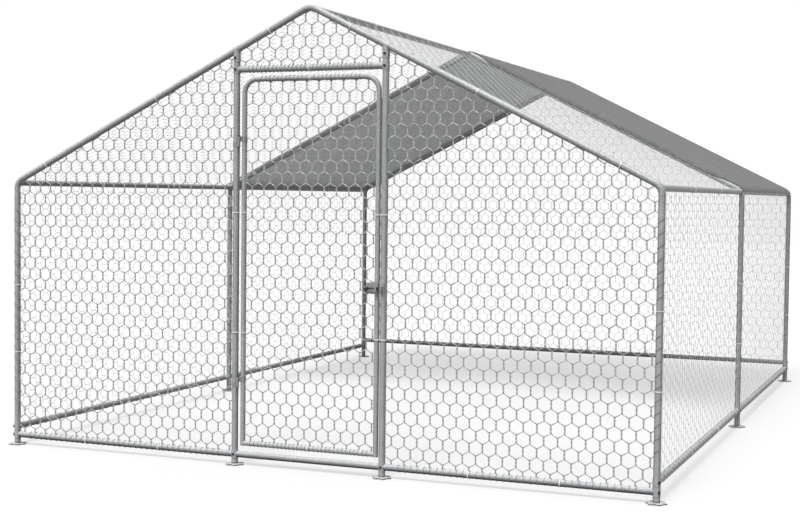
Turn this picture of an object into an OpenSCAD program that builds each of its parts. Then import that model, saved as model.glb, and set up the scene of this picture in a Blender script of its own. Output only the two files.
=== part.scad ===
// Walk-in chicken run: three bent-tube gable frames, wire netting, a hinged door and a roof cover.
// Millimetres, +Z up, front at -Y. The origin is on the ground, at the centre of the plan.

/* [Run] */
// Overall width across the side walls
run_w = 3000; // [2400:10:3600]
// Overall depth from the front frame to the rear frame
run_d = 4000; // [3200:10:5200]
// Overall height of the tubes at the ridge
run_h = 1960; // [1900:10:2300]
// Slope of the roof in degrees
roof_pitch = 26.5; // [22:0.5:30]

/* [Frame tubes] */
// Outside diameter of the frame tubes
tube_d = 28; // [25:0.5:34]
// Wall of every tube
tube_wall = 1.2; // [0.8:0.1:2]
// Centreline radius of the eave bends
eave_bend_r = 50; // [40:1:80]
// Length of an eave elbow down the post, from the corner
elbow_drop = 165; // [110:1:260]
// Length of an eave elbow up the rafter, from the corner
elbow_run = 120; // [90:1:260]
// Centreline radius of the bend at the ridge
apex_bend_r = 60; // [45:1:110]
// Length of each leg of a ridge bend, from the peak
apex_leg = 150; // [100:1:260]
// How far a swaged end reaches into the next tube
swage_l = 60; // [30:1:90]
// How far a welded stub reaches into its rail
stub_l = 45; // [25:1:80]

/* [Base] */
// Height of the front base rails, to the axis
front_rail_z = 46; // [40:1:70]
// Step from the front rails up to the side rails, and from those to the rear rail
rail_step = 38; // [37:1:60]
// Height of the sleeve of a tee
tee_h = 34; // [24:1:36]
// Wall of the sleeve of a tee
tee_wall = 1.5; // [1:0.1:3]
// Diameter of a foot plate over its lobes
foot_d = 84; // [70:1:110]
// Diameter of one lobe of a foot plate
foot_lobe_d = 28; // [20:1:30]
// Diameter of a foot plate between its lobes
foot_body_d = 61; // [56:1:64]
// Thickness of a foot plate
foot_t = 5; // [3:0.5:8]
// Height at which a post stands on its foot
foot_h = 12; // [10:0.5:18]
// Length of the foot stem inside the post
foot_stem_l = 50; // [30:1:70]
// Diameter of a peg hole in a foot plate
peg_hole_d = 8; // [5:0.5:10]
// Shank diameter of the tee bolts
bolt_d = 6; // [4:0.5:8]
// Size of a bolt head across its flats
bolt_af = 10; // [8:0.5:13]
// Height of a bolt head
bolt_head_h = 4; // [3:0.5:6]

/* [Doorway] */
// Distance between the axes of the door posts
doorway_w = 690; // [600:5:900]
// Drop from the rafter to the header, axis to axis at a door post
header_drop = 84; // [78:1:150]
// Depth of the socket under a rafter for the top of a door post
post_tee_l = 52; // [36:1:56]
// Outside diameter of the header bar
header_d = 28; // [20:0.5:32]

/* [Door] */
// Outside diameter of the door tubes
door_tube_d = 22; // [20:0.5:28]
// Drop from the header axis to the top of the door, axis to axis
door_head_gap = 42; // [32:1:80]
// Rise from the front rail axis to the bottom of the door, axis to axis
door_sill_gap = 50; // [34:1:90]
// Centreline radius of the round top corners
door_bend_r = 60; // [40:1:110]
// Length of the legs of the top bow, from the top axis
bow_leg = 150; // [125:1:220]
// Open gap between the hinge post and the door
hinge_gap = 13.5; // [11:0.5:25]
// Open gap between the latch post and the door
latch_gap = 4; // [3:0.5:12]

/* [Hinges] */
// Distance of each hinge from the end of the door
hinge_inset = 265; // [190:1:400]
// Distance of the hinge axis in front of the frame
hinge_out = 18; // [16:0.5:26]
// Height of a hinge strap
strap_h = 22; // [14:1:40]
// Thickness of a hinge strap
strap_t = 1.5; // [1:0.1:3]
// Outside diameter of a hinge knuckle
knuckle_d = 13; // [11:0.5:16]
// Diameter of a hinge pin
pin_d = 6; // [4:0.5:7]

/* [Latch] */
// Height of the latch bolt
latch_z = 785; // [600:5:1100]
// Diameter of the latch bolt
latch_bolt_d = 8; // [6:0.5:10]
// Travel of the latch bolt into the keeper
latch_throw = 22; // [20:0.5:26]
// Distance of the latch bolt in front of the frame
latch_out = 27; // [25:0.5:34]
// Height of the latch plate
latch_plate_h = 46; // [22:1:50]
// Thickness of the latch plate
latch_plate_t = 3; // [2:0.5:4]
// Width of a guide or keeper block along the bolt
guide_w = 8; // [6:0.5:12]

/* [Netting] */
// Distance between the middles of two cells
net_pitch = 385; // [340:5:700]
// Width of a strand
net_strand = 6; // [3:0.5:12]
// Thickness of the netting
net_t = 2; // [1:0.5:4]

/* [Cover and ties] */
// Thickness of the cover
cover_t = 1.2; // [0.8:0.1:3]
// How far the cover reaches past the eave corner, below zero where it stops short of it
cover_lap = -10; // [-30:1:20]
// Thickness of a cable tie
tie_t = 1.8; // [1:0.1:3]
// Width of a cable tie
tie_w = 5; // [3:0.5:9]

/* [Fits] */
// Radial clearance of tubes, pins and sleeves that slide into each other
fit = 0.2; // [0.1:0.05:0.3]
// Gap between pieces that lie against each other
gap = 0.3; // [0.2:0.05:0.5]

/* [Hidden] */
$fn = 48;
LEFT = -1;
RIGHT = 1;
FRONT_WAY = -1;
REAR_WAY = 1;
// Directions in plan
TO_RIGHT = 0;
TO_REAR = 90;
TO_LEFT = 180;
TO_FRONT = 270;
cut = 1;
// Hairline where one length of tube butts against the next, and the key that bridges it inside a bent piece
seam = 0.05;
key_l = 3;

steel = "lightsteelblue";
dark_steel = "slategray";
wire = "gainsboro";
cloth = "dimgray";
white = "white";

// Tubes and fits
tube_r = tube_d / 2;
bore_d = tube_d - 2 * tube_wall;
spigot_d = bore_d - 2 * fit;
core_d = spigot_d - 2 * tube_wall;
tee_d = tube_d + 2 * fit + 2 * tee_wall;
header_spigot_d = header_d - 2 * tube_wall - 2 * fit;
door_spigot_d = door_tube_d - 2 * tube_wall - 2 * fit;
door_core_d = door_spigot_d - 2 * tube_wall;
net_clear = max(tie_t, tee_wall, strap_t) + fit + gap;
net_inset = tube_r + net_clear;

// Plan of the frames and posts
half_w = run_w / 2 - tube_r;
front_y = -run_d / 2 + tube_r;
mid_y = 0;
rear_y = run_d / 2 - tube_r;
door_post_x = doorway_w / 2;

// Gable: the corner points are where the straight axes cross
apex_drop = apex_bend_r * (1 / cos(roof_pitch) - 1);
apex_z = run_h - tube_r + apex_drop;
ridge_z = apex_z - apex_drop;
eave_z = apex_z - half_w * tan(roof_pitch);
rafter_l = half_w / cos(roof_pitch);
eave_turn = 90 - roof_pitch;
eave_tan = eave_bend_r * tan(eave_turn / 2);
eave_off = eave_bend_r * (1 / cos(eave_turn / 2) - 1);
apex_tan = apex_bend_r * tan(roof_pitch);
eave_rail_x = half_w - eave_off * sin(eave_turn / 2 + roof_pitch);
eave_rail_z = eave_z - eave_off * cos(eave_turn / 2 + roof_pitch);

// Where the netting stops short of the eave and ridge rails, measured from the corner points
function rail_inset(off, angle) =
    let (beside = max(0, off * cos(angle) - net_t / 2))
    off * sin(angle) + sqrt(max(0, pow(net_inset, 2) - pow(beside, 2)));
eave_inset = rail_inset(eave_off, eave_turn / 2);
ridge_inset = rail_inset(apex_drop, roof_pitch);

// Heights
side_rail_z = front_rail_z + rail_step;
rear_rail_z = side_rail_z + rail_step;
post_top_z = apex_z - door_post_x * tan(roof_pitch);
header_z = post_top_z - header_drop;
door_top_z = header_z - door_head_gap;
door_bottom_z = front_rail_z + door_sill_gap;

// Door
hinge_stile_x = -door_post_x + tube_r + hinge_gap + door_tube_d / 2;
latch_stile_x = door_post_x - tube_r - latch_gap - door_tube_d / 2;
hinge_x = -door_post_x + tube_r + hinge_gap / 2;
hinge_y = front_y - hinge_out;
hinge_heights = [door_bottom_z + hinge_inset, door_top_z - hinge_inset];
pin_head_inset = 0.5;
pin_head_d = knuckle_d - 2 * pin_head_inset;
pin_head_h = 3;
lug_w = 7;

// Latch
latch_y = front_y - latch_out;
guide_wall = 4;
guide_h = latch_bolt_d + 2 * guide_wall;
pad_inset = 2.5;
pad_w = door_tube_d - 2 * pad_inset;
knob_d = 14;
knob_reach = 26;
latch_knob_d = 6;
guide_in_x = latch_stile_x - latch_throw - 2 * guide_w - latch_knob_d;
bolt_tip_x = latch_stile_x + door_tube_d / 2 + latch_gap / 2;
keeper_play = 0.5;
keeper_bore_d = latch_bolt_d + 2 * keeper_play;

// Netting: height of the first row of cells, and the smallest cut-off gap that is kept, as shares of a cell
first_row = 0.4;
least_gap = 0.015;

// Cover
cover_arc_steps = 8;

// Tees on the posts: [x, y, height, directions of the stubs, direction of the bolt]
BASE_TEES = concat(
    [
        [-half_w, front_y, front_rail_z, [TO_RIGHT], TO_FRONT - 45],
        [-door_post_x, front_y, front_rail_z, [TO_RIGHT, TO_LEFT], TO_FRONT],
        [door_post_x, front_y, front_rail_z, [TO_RIGHT, TO_LEFT], TO_FRONT],
        [half_w, front_y, front_rail_z, [TO_LEFT], TO_FRONT + 45],
        [-half_w, rear_y, rear_rail_z, [TO_RIGHT], TO_REAR + 45],
        [half_w, rear_y, rear_rail_z, [TO_LEFT], TO_REAR - 45]
    ],
    [for (s = [LEFT, RIGHT]) each [
        [s * half_w, front_y, side_rail_z, [TO_REAR], TO_FRONT + 45 * s],
        [s * half_w, mid_y, side_rail_z, [TO_REAR, TO_FRONT], TO_REAR - 90 * s],
        [s * half_w, rear_y, side_rail_z, [TO_FRONT], TO_REAR - 45 * s]
    ]]
);
HEADER_TEES = [
    [-door_post_x, front_y, header_z, [TO_RIGHT], TO_FRONT],
    [door_post_x, front_y, header_z, [TO_LEFT], TO_FRONT]
];
RAFTER_TEES = [
    for (s = [LEFT, RIGHT]) [s * door_post_x, front_y, post_top_z - post_tee_l + tee_h / 2, [], TO_FRONT]
];
POST_BOLTS = concat(BASE_TEES, HEADER_TEES, RAFTER_TEES);

POSTS = concat(
    [for (s = [LEFT, RIGHT]) for (y = [front_y, mid_y, rear_y]) [s * half_w, y]],
    [for (s = [LEFT, RIGHT]) [s * door_post_x, front_y]]
);

// Values that share a stretch out evenly
function shares(from, to, count) = [for (k = [1:count]) from + (to - from) * k / (count + 1)];

// Shared shapes

module side(s) {
    mirror([s == LEFT ? 1 : 0, 0, 0]) children();
}

module along_y(way) {
    rotate([-90 * way, 0, 0]) children();
}

// Turns upright shapes to run along a level direction, given as an angle in plan
module along_level(angle) {
    rotate([0, 90, angle]) children();
}

// Turns upright shapes to run up the right-hand rafter
module up_slope() {
    rotate([0, roof_pitch - 90, 0]) children();
}

module tube(d, l) {
    difference() {
        cylinder(d = d, h = l);
        translate([0, 0, -cut]) cylinder(d = d - 2 * tube_wall, h = l + 2 * cut);
    }
}

module bend(d, r, turn) {
    rotate([90, 0, 0]) rotate_extrude(angle = turn) translate([r, 0]) circle(d = d);
}

// Holes for the bolts on the post at x, y
module bolt_bores(x, y) {
    for (t = POST_BOLTS) if (t[0] == x && t[1] == y)
        translate([x, y, t[2]]) along_level(t[4]) cylinder(d = bolt_d + 2 * fit, h = tee_d);
}

// Frame pieces

module corner_post(y, s) {
    x = s * half_w;
    color(steel) difference() {
        translate([x, y, foot_h]) tube(tube_d, eave_z - elbow_drop - foot_h - seam);
        bolt_bores(x, y);
    }
}

// A straight leg on the end of a bend: it starts a hairline past the bend, and a key joins the two
module leg(d, l) {
    translate([0, 0, seam]) cylinder(d = d, h = l - seam);
    translate([0, 0, -key_l]) cylinder(d = d - tube_wall, h = 2 * key_l);
}

module swaged_leg(d, end_d, l) {
    leg(d, l);
    translate([0, 0, l - cut]) cylinder(d = end_d, h = swage_l + cut);
}

module leg_bore(d, l) {
    translate([0, 0, -key_l]) cylinder(d = d, h = key_l + l + swage_l + cut);
}

// The right-hand eave corner: its bend, and the places where its legs start
module eave_bend(d) {
    translate([half_w - eave_bend_r, 0, eave_z - eave_tan]) bend(d, eave_bend_r, eave_turn);
}

module down_post() {
    translate([half_w, 0, eave_z - eave_tan]) rotate([180, 0, 0]) children();
}

module up_rafter() {
    translate([half_w, 0, eave_z]) up_slope() translate([0, 0, eave_tan]) children();
}

module at_eave_rail(way) {
    translate([eave_rail_x, 0, eave_rail_z]) along_y(way) children();
}

module elbow(y, s, ways) {
    drop = elbow_drop - eave_tan;
    run = elbow_run - eave_tan;
    color(steel) translate([0, y, 0]) side(s) difference() {
        union() {
            eave_bend(tube_d);
            down_post() swaged_leg(tube_d, spigot_d, drop);
            up_rafter() swaged_leg(tube_d, spigot_d, run);
            for (way = ways) at_eave_rail(way) cylinder(d = spigot_d, h = tube_r + stub_l);
        }
        eave_bend(bore_d);
        down_post() leg_bore(core_d, drop);
        up_rafter() leg_bore(core_d, run);
        for (way = ways) at_eave_rail(way)
            translate([0, 0, tube_r + tube_wall]) cylinder(d = core_d, h = stub_l);
    }
}

module rafter(y, s) {
    color(steel) translate([0, y, 0]) side(s) translate([half_w, 0, eave_z]) up_slope()
        translate([0, 0, elbow_run + seam]) tube(tube_d, rafter_l - elbow_run - apex_leg - 2 * seam);
}

// The peak: its bend, and the places where its legs start
module apex_bend(d) {
    translate([0, 0, ridge_z - apex_bend_r]) rotate([0, roof_pitch - 90, 0])
        bend(d, apex_bend_r, 2 * roof_pitch);
}

module down_slopes() {
    for (s = [LEFT, RIGHT]) side(s) translate([0, 0, apex_z]) rotate([0, 90 + roof_pitch, 0])
        translate([0, 0, apex_tan]) children();
}

module apex(y, ways) {
    run = apex_leg - apex_tan;
    color(steel) translate([0, y, 0]) difference() {
        union() {
            apex_bend(tube_d);
            down_slopes() swaged_leg(tube_d, spigot_d, run);
            for (way = ways) translate([0, 0, ridge_z])
                along_y(way) cylinder(d = spigot_d, h = tube_r + stub_l);
        }
        apex_bend(bore_d);
        down_slopes() leg_bore(core_d, run);
        for (way = ways) translate([0, 0, ridge_z])
            along_y(way) translate([0, 0, tube_r + tube_wall]) cylinder(d = core_d, h = stub_l);
    }
}

// Rails

// A rail of one bay, along Y, before its ends are shaped to the frames
module bay_rail(x, z, y) {
    translate([x, y, z]) along_y(REAR_WAY) tube(tube_d, rear_y);
}

module at_bay_ends(y) {
    for (end = [y, y + rear_y]) translate([0, end, 0]) children();
}

module eave_rails(s) {
    color(steel) side(s) for (y = [front_y, mid_y]) difference() {
        bay_rail(eave_rail_x, eave_rail_z, y);
        at_bay_ends(y) eave_bend(tube_d + 2 * gap);
    }
}

module ridge_rails() {
    color(steel) for (y = [front_y, mid_y]) difference() {
        bay_rail(0, ridge_z, y);
        at_bay_ends(y) apex_bend(tube_d + 2 * gap);
    }
}

// Room for the sleeve of a tee on the post at x, y
module tee_room(x, y, z) {
    translate([x, y, z - tube_d]) cylinder(d = tee_d + 2 * gap, h = 2 * tube_d);
}

module side_base_rails(s) {
    x = s * half_w;
    color(steel) for (y = [front_y, mid_y]) difference() {
        bay_rail(x, side_rail_z, y);
        at_bay_ends(y) tee_room(x, 0, side_rail_z);
    }
}

// A rail across the run between two posts
module cross_rail(d, x0, x1, y, z) {
    color(steel) difference() {
        translate([x0, y, z]) along_level(0) tube(d, x1 - x0);
        for (x = [x0, x1]) tee_room(x, y, z);
    }
}

module front_base_rail(s) {
    ends = [s * half_w, s * door_post_x];
    cross_rail(tube_d, min(ends), max(ends), front_y, front_rail_z);
}

module door_sill_rail() {
    cross_rail(tube_d, -door_post_x, door_post_x, front_y, front_rail_z);
}

module rear_base_rail() {
    cross_rail(tube_d, -half_w, half_w, rear_y, rear_rail_z);
}

// Doorway

module door_post(s) {
    x = s * door_post_x;
    color(steel) difference() {
        translate([x, front_y, foot_h]) tube(tube_d, post_top_z - foot_h);
        translate([x, front_y, post_top_z]) side(s) up_slope()
            cylinder(d = tube_d + 2 * gap, h = 4 * tube_d, center = true);
        bolt_bores(x, front_y);
    }
}

module header_bar() {
    cross_rail(header_d, -door_post_x, door_post_x, front_y, header_z);
}

// Sleeve round a post with a stub for each rail
module tee(t, stub_d) {
    difference() {
        union() {
            translate([t[0], t[1], t[2] - tee_h / 2]) cylinder(d = tee_d, h = tee_h);
            for (angle = t[3]) translate([t[0], t[1], t[2]])
                along_level(angle) cylinder(d = stub_d, h = tee_d / 2 + stub_l);
        }
        translate([t[0], t[1], t[2] - tee_d]) cylinder(d = tube_d + 2 * fit, h = 2 * tee_d);
        for (angle = t[3]) translate([t[0], t[1], t[2]]) along_level(angle)
            translate([0, 0, tee_d / 2]) cylinder(d = stub_d - 2 * tube_wall, h = stub_l + cut);
        bolt_bores(t[0], t[1]);
    }
}

// Sleeve over a rafter, with a socket below for the top of a door post
module rafter_tee(t) {
    s = sign(t[0]);
    difference() {
        union() {
            translate([t[0], front_y, post_top_z]) side(s) up_slope()
                cylinder(d = tee_d, h = tee_h, center = true);
            translate([t[0], front_y, post_top_z - post_tee_l]) cylinder(d = tee_d, h = post_tee_l);
        }
        translate([t[0], front_y, post_top_z]) side(s) up_slope()
            cylinder(d = tube_d + 2 * fit, h = 4 * tee_h, center = true);
        translate([t[0], front_y, post_top_z - post_tee_l - cut])
            cylinder(d = tube_d + 2 * fit, h = post_tee_l + cut);
        bolt_bores(t[0], t[1]);
    }
}

module base_tees() {
    color(dark_steel) for (t = BASE_TEES) tee(t, spigot_d);
}

module post_tees() {
    color(dark_steel) {
        for (t = HEADER_TEES) tee(t, header_spigot_d);
        for (t = RAFTER_TEES) rafter_tee(t);
    }
}

module tee_bolts() {
    shank_l = tee_d / 4;
    color(dark_steel) for (t = POST_BOLTS) translate([t[0], t[1], t[2]]) along_level(t[4]) {
        translate([0, 0, tee_d / 2 - shank_l]) cylinder(d = bolt_d, h = shank_l + cut);
        translate([0, 0, tee_d / 2 + fit]) cylinder(d = bolt_af / cos(30), h = bolt_head_h, $fn = 6);
    }
}

module foot_plate(x, y) {
    lobe_ring_r = (foot_d - foot_lobe_d) / 2;
    difference() {
        translate([x, y, 0]) {
            linear_extrude(foot_t) difference() {
                union() {
                    circle(d = foot_body_d);
                    for (k = [0:5]) rotate(60 * k) translate([lobe_ring_r, 0]) circle(d = foot_lobe_d);
                }
                for (k = [0:2]) rotate(120 * k) translate([lobe_ring_r, 0]) circle(d = peg_hole_d);
            }
            cylinder(d = tube_d, h = foot_h);
            cylinder(d = spigot_d, h = foot_h + foot_stem_l);
        }
        translate([x, y, foot_h]) cylinder(d = core_d, h = foot_stem_l + cut);
        bolt_bores(x, y);
    }
}

module foot_plates() {
    color(steel) for (p = POSTS) foot_plate(p[0], p[1]);
}

// Door

module door_stile(x) {
    color(steel) translate([x, front_y, door_bottom_z - door_tube_d / 2])
        tube(door_tube_d, door_top_z - bow_leg - door_bottom_z + door_tube_d / 2 - seam);
}

// Bends of the two round top corners
module bow_bends(d) {
    translate([latch_stile_x - door_bend_r, 0, door_top_z - door_bend_r]) bend(d, door_bend_r, 90);
    translate([hinge_stile_x + door_bend_r, 0, door_top_z - door_bend_r])
        side(LEFT) bend(d, door_bend_r, 90);
}

module down_stiles() {
    for (x = [hinge_stile_x, latch_stile_x])
        translate([x, 0, door_top_z - door_bend_r]) rotate([180, 0, 0]) children();
}

module along_bow_top() {
    translate([hinge_stile_x + door_bend_r, 0, door_top_z]) along_level(0) children();
}

module door_top_bow() {
    drop = bow_leg - door_bend_r;
    top_l = latch_stile_x - hinge_stile_x - 2 * door_bend_r;
    color(steel) translate([0, front_y, 0]) difference() {
        union() {
            bow_bends(door_tube_d);
            down_stiles() swaged_leg(door_tube_d, door_spigot_d, drop);
            along_bow_top() {
                leg(door_tube_d, top_l - seam);
                translate([0, 0, top_l - key_l]) cylinder(d = door_tube_d - tube_wall, h = 2 * key_l);
            }
        }
        bow_bends(door_tube_d - 2 * tube_wall);
        down_stiles() leg_bore(door_core_d, drop);
        along_bow_top() translate([0, 0, -key_l]) cylinder(d = door_core_d, h = top_l + 2 * key_l);
    }
}

module door_bottom_rail() {
    color(steel) difference() {
        translate([hinge_stile_x, front_y, door_bottom_z]) along_level(0)
            tube(door_tube_d, latch_stile_x - hinge_stile_x);
        for (x = [hinge_stile_x, latch_stile_x]) translate([x, front_y, door_bottom_z - door_tube_d])
            cylinder(d = door_tube_d + 2 * gap, h = 2 * door_tube_d);
    }
}

// Hinges

// Strap round a tube at x, with a lug to a knuckle on the hinge axis
module hinge_strap(x, d, pin_bore_d) {
    reach = [hinge_x - x, hinge_y - front_y];
    linear_extrude(strap_h) difference() {
        union() {
            translate([x, front_y]) circle(d = d + 2 * fit + 2 * strap_t);
            translate([x, front_y]) rotate(atan2(reach[1], reach[0]))
                translate([0, -lug_w / 2]) square([norm(reach), lug_w]);
            translate([hinge_x, hinge_y]) circle(d = knuckle_d);
        }
        translate([x, front_y]) circle(d = d + 2 * fit);
        translate([hinge_x, hinge_y]) circle(d = pin_bore_d);
    }
}

module hinge_post_straps() {
    color(dark_steel) for (z = hinge_heights) translate([0, 0, z - strap_h])
        hinge_strap(-door_post_x, tube_d, pin_d + fit);
}

module hinge_door_straps() {
    color(dark_steel) for (z = hinge_heights) translate([0, 0, z + gap])
        hinge_strap(hinge_stile_x, door_tube_d, pin_d + 2 * fit);
}

module hinge_pins() {
    color(dark_steel) for (z = hinge_heights) translate([hinge_x, hinge_y, z]) {
        translate([0, 0, -strap_h - gap]) cylinder(d = pin_d, h = 2 * strap_h + 3 * gap);
        translate([0, 0, strap_h + 2 * gap]) cylinder(d = pin_head_d, h = pin_head_h);
        translate([0, 0, -strap_h - gap - pin_head_h]) cylinder(d = pin_head_d, h = pin_head_h);
    }
}

// Latch

// Block with a hole for the bolt, from x0 on, standing out from the pad on a tube
module guide_block(x0, tube_size, bore) {
    depth = latch_out + guide_h / 2 - tube_size / 2 - latch_plate_t / 2;
    difference() {
        translate([x0, latch_y - guide_h / 2, latch_z - guide_h / 2]) cube([guide_w, depth, guide_h]);
        translate([x0 - cut, latch_y, latch_z]) along_level(0) cylinder(d = bore, h = guide_w + 2 * cut);
    }
}

// Pad on the front of a tube at x, hollowed to sit on it
module latch_pad(x, d) {
    wrap = d / 3;
    difference() {
        translate([x - pad_w / 2, front_y - d / 2 - latch_plate_t, latch_z - latch_plate_h / 2])
            cube([pad_w, wrap + latch_plate_t, latch_plate_h]);
        translate([x, front_y, latch_z - latch_plate_h]) cylinder(d = d + 2 * gap, h = 2 * latch_plate_h);
    }
}

module latch_plate() {
    plate_x1 = latch_stile_x + pad_w / 2;
    color(dark_steel) {
        latch_pad(latch_stile_x, door_tube_d);
        translate([guide_in_x, front_y - door_tube_d / 2 - latch_plate_t, latch_z - latch_plate_h / 2])
            cube([plate_x1 - guide_in_x, latch_plate_t - gap, latch_plate_h]);
        for (x = [guide_in_x, plate_x1 - guide_w]) guide_block(x, door_tube_d, latch_bolt_d + 2 * fit);
    }
}

module latch_bolt() {
    tail_x = guide_in_x - guide_w / 2;
    knob_x = guide_in_x + guide_w + latch_knob_d;
    color(dark_steel) {
        translate([tail_x, latch_y, latch_z]) along_level(0)
            cylinder(d = latch_bolt_d, h = bolt_tip_x - tail_x);
        translate([knob_x, latch_y, latch_z]) along_y(FRONT_WAY) {
            cylinder(d = latch_knob_d, h = knob_reach);
            translate([0, 0, knob_reach]) sphere(d = knob_d);
        }
    }
}

module latch_keeper() {
    color(dark_steel) {
        latch_pad(door_post_x, tube_d);
        guide_block(door_post_x - guide_w / 2, tube_d, keeper_bore_d);
    }
}

// Netting: a flat sheet with six-sided gaps, trimmed to the tubes round it.
// A tube is an edge: [point on its axis, direction into the panel, distance that the sheet keeps]

function edge_room(p, edge, more) = (p - edge[0]) * [cos(edge[1]), sin(edge[1])] - edge[2] - more;

function trim_edge(shape, edge, more) = [
    for (i = [0:len(shape) - 1])
        let (p = shape[i], q = shape[(i + 1) % len(shape)])
        let (a = edge_room(p, edge, more), b = edge_room(q, edge, more))
        each concat(a >= 0 ? [p] : [], a * b < 0 ? [p + (q - p) * a / (a - b)] : [])
];

function trim(shape, edges, more, i = 0) =
    i == len(edges) || len(shape) < 3 ? shape : trim(trim_edge(shape, edges[i], more), edges, more, i + 1);

function area(shape) =
    let (turns = [for (i = [0:len(shape) - 1]) cross(shape[i], shape[(i + 1) % len(shape)])])
    abs(turns * [for (t = turns) 1]) / 2;

function hexagon(centre, r) = [for (k = [0:5]) centre + r * [sin(60 * k), cos(60 * k)]];

function lowest(shape, axis) = min([for (p = shape) p[axis]]);
function highest(shape, axis) = max([for (p = shape) p[axis]]);

function cell_centres(shape) =
    let (u0 = lowest(shape, 0), v0 = lowest(shape, 1), row = net_pitch * sqrt(3) / 2)
    let (columns = ceil((highest(shape, 0) - u0) / net_pitch), rows = ceil((highest(shape, 1) - v0) / row))
    [for (j = [0:rows]) for (i = [0:columns])
        [u0 + (i + (j % 2) / 2) * net_pitch, v0 + (j + first_row) * row]];

function net_gaps(outline, edges) =
    let (r = (net_pitch - net_strand) / sqrt(3), least = least_gap * pow(net_pitch, 2))
    [for (c = cell_centres(outline))
        let (g = trim(hexagon(c, r), edges, net_strand))
        if (len(g) > 2) if (area(g) > least) g];

function ring_paths(rings) = [
    for (i = 0, start = 0; i < len(rings); start = start + len(rings[i]), i = i + 1)
        [for (k = [0:len(rings[i]) - 1]) start + k]
];

module netting(edges) {
    reach = run_w + run_d + run_h;
    outline = trim([[-reach, -reach], [reach, -reach], [reach, reach], [-reach, reach]], edges, 0);
    rings = concat([outline], net_gaps(outline, edges));
    linear_extrude(net_t, center = true)
        polygon(points = [for (r = rings) each r], paths = ring_paths(rings));
}

module in_front_plane(y) {
    translate([0, y, 0]) rotate([90, 0, 0]) children();
}

module in_side_plane() {
    rotate([90, 0, 90]) children();
}

// Edges along the rafter and round the eave bend of one side of a gable
function gable_edges(s) = [
    [[s * half_w, 0], s == RIGHT ? 180 : 0, net_inset],
    [[s * half_w, eave_z], 270 - s * roof_pitch, net_inset],
    [[s * half_w, eave_z], 270 - s * (45 + roof_pitch / 2), eave_off + net_inset]
];

function across_edges(u0, u1, room) = [[[u0, 0], 0, room], [[u1, 0], 180, room]];

module front_net(s) {
    inner = [[s * door_post_x, 0], s == RIGHT ? 0 : 180, net_inset];
    color(wire) in_front_plane(front_y)
        netting(concat(gable_edges(s), [inner, [[0, front_rail_z], 90, net_inset]]));
}

module gable_net() {
    top = [[0, ridge_z], 270, net_inset];
    bottom = [[0, header_z], 90, header_d / 2 + net_clear];
    color(wire) in_front_plane(front_y) netting(concat(
        across_edges(-door_post_x, door_post_x, net_inset),
        gable_edges(LEFT), gable_edges(RIGHT), [top, bottom]));
}

module rear_net() {
    top = [[0, ridge_z], 270, net_inset];
    bottom = [[0, rear_rail_z], 90, net_inset];
    color(wire) in_front_plane(rear_y)
        netting(concat(gable_edges(LEFT), gable_edges(RIGHT), [top, bottom]));
}

module wall_net(s) {
    color(wire) translate([s * half_w, 0, 0]) in_side_plane()
        for (y = [[front_y, mid_y], [mid_y, rear_y]]) netting(concat(
            across_edges(y[0], y[1], net_inset),
            [[[0, side_rail_z], 90, net_inset], [[0, eave_z], 270, eave_inset]]));
}

module roof_net() {
    color(wire) for (s = [LEFT, RIGHT]) side(s) translate([half_w, 0, eave_z]) up_slope() in_side_plane()
        for (y = [[front_y, mid_y], [mid_y, rear_y]]) netting(concat(
            across_edges(y[0], y[1], net_inset),
            [[[0, 0], 90, eave_inset], [[0, rafter_l], 270, ridge_inset]]));
}

// Edges round a top corner of the door, from the centre of its bend
function corner_edges(centre, s, room) = [
    for (angle = shares(0, 90, 3)) [centre, 270 - s * angle, room - door_bend_r]
];

module door_net() {
    room = door_tube_d / 2 + net_clear;
    bend_z = door_top_z - door_bend_r;
    color(wire) in_front_plane(front_y) netting(concat(
        across_edges(hinge_stile_x, latch_stile_x, room),
        [[[0, door_bottom_z], 90, room], [[0, door_top_z], 270, room]],
        corner_edges([hinge_stile_x + door_bend_r, bend_z], LEFT, room),
        corner_edges([latch_stile_x - door_bend_r, bend_z], RIGHT, room)));
}

// Cover: from eave to eave over the ridge, at a distance off the tube axes
function cover_line(off) =
    let (foot = [half_w + off * sin(roof_pitch) + cover_lap * cos(roof_pitch),
                 eave_z + off * cos(roof_pitch) - cover_lap * sin(roof_pitch)])
    let (step = 2 * roof_pitch / cover_arc_steps)
    concat(
        [foot],
        [for (k = [0:cover_arc_steps])
            let (angle = 90 - roof_pitch + k * step)
            [0, ridge_z - apex_bend_r] + (apex_bend_r + off) * [cos(angle), sin(angle)]],
        [[-foot[0], foot[1]]]
    );

function reversed(points) = [for (i = [len(points) - 1:-1:0]) points[i]];

module roof_cover() {
    under = cover_line(net_inset);
    over = cover_line(net_inset + cover_t);
    color(cloth) translate([0, rear_y + tube_r, 0]) rotate([90, 0, 0])
        linear_extrude(rear_y - mid_y + tube_d) polygon(concat(over, reversed(under)));
}

// Cable ties: a band round the tube with its lock on one side, along +X before it is placed
module tie(d) {
    inner = d + 2 * fit;
    linear_extrude(tie_w, center = true) difference() {
        union() {
            circle(d = inner + 2 * tie_t);
            translate([0, -tie_w / 2]) square([inner / 2 + 2 * tie_t, tie_w]);
        }
        circle(d = inner);
    }
}

module post_ties() {
    for (t = BASE_TEES) if (abs(t[0]) == half_w && t[2] == side_rail_z)
        for (z = shares(rear_rail_z, eave_z - elbow_drop, 2))
            translate([t[0], t[1], z]) rotate(t[4]) tie(tube_d);
    for (s = [LEFT, RIGHT])
        for (z = [(hinge_heights[0] + latch_z) / 2, (hinge_heights[1] + latch_z) / 2])
            translate([s * door_post_x, front_y, z]) rotate(TO_FRONT) tie(tube_d);
}

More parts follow.
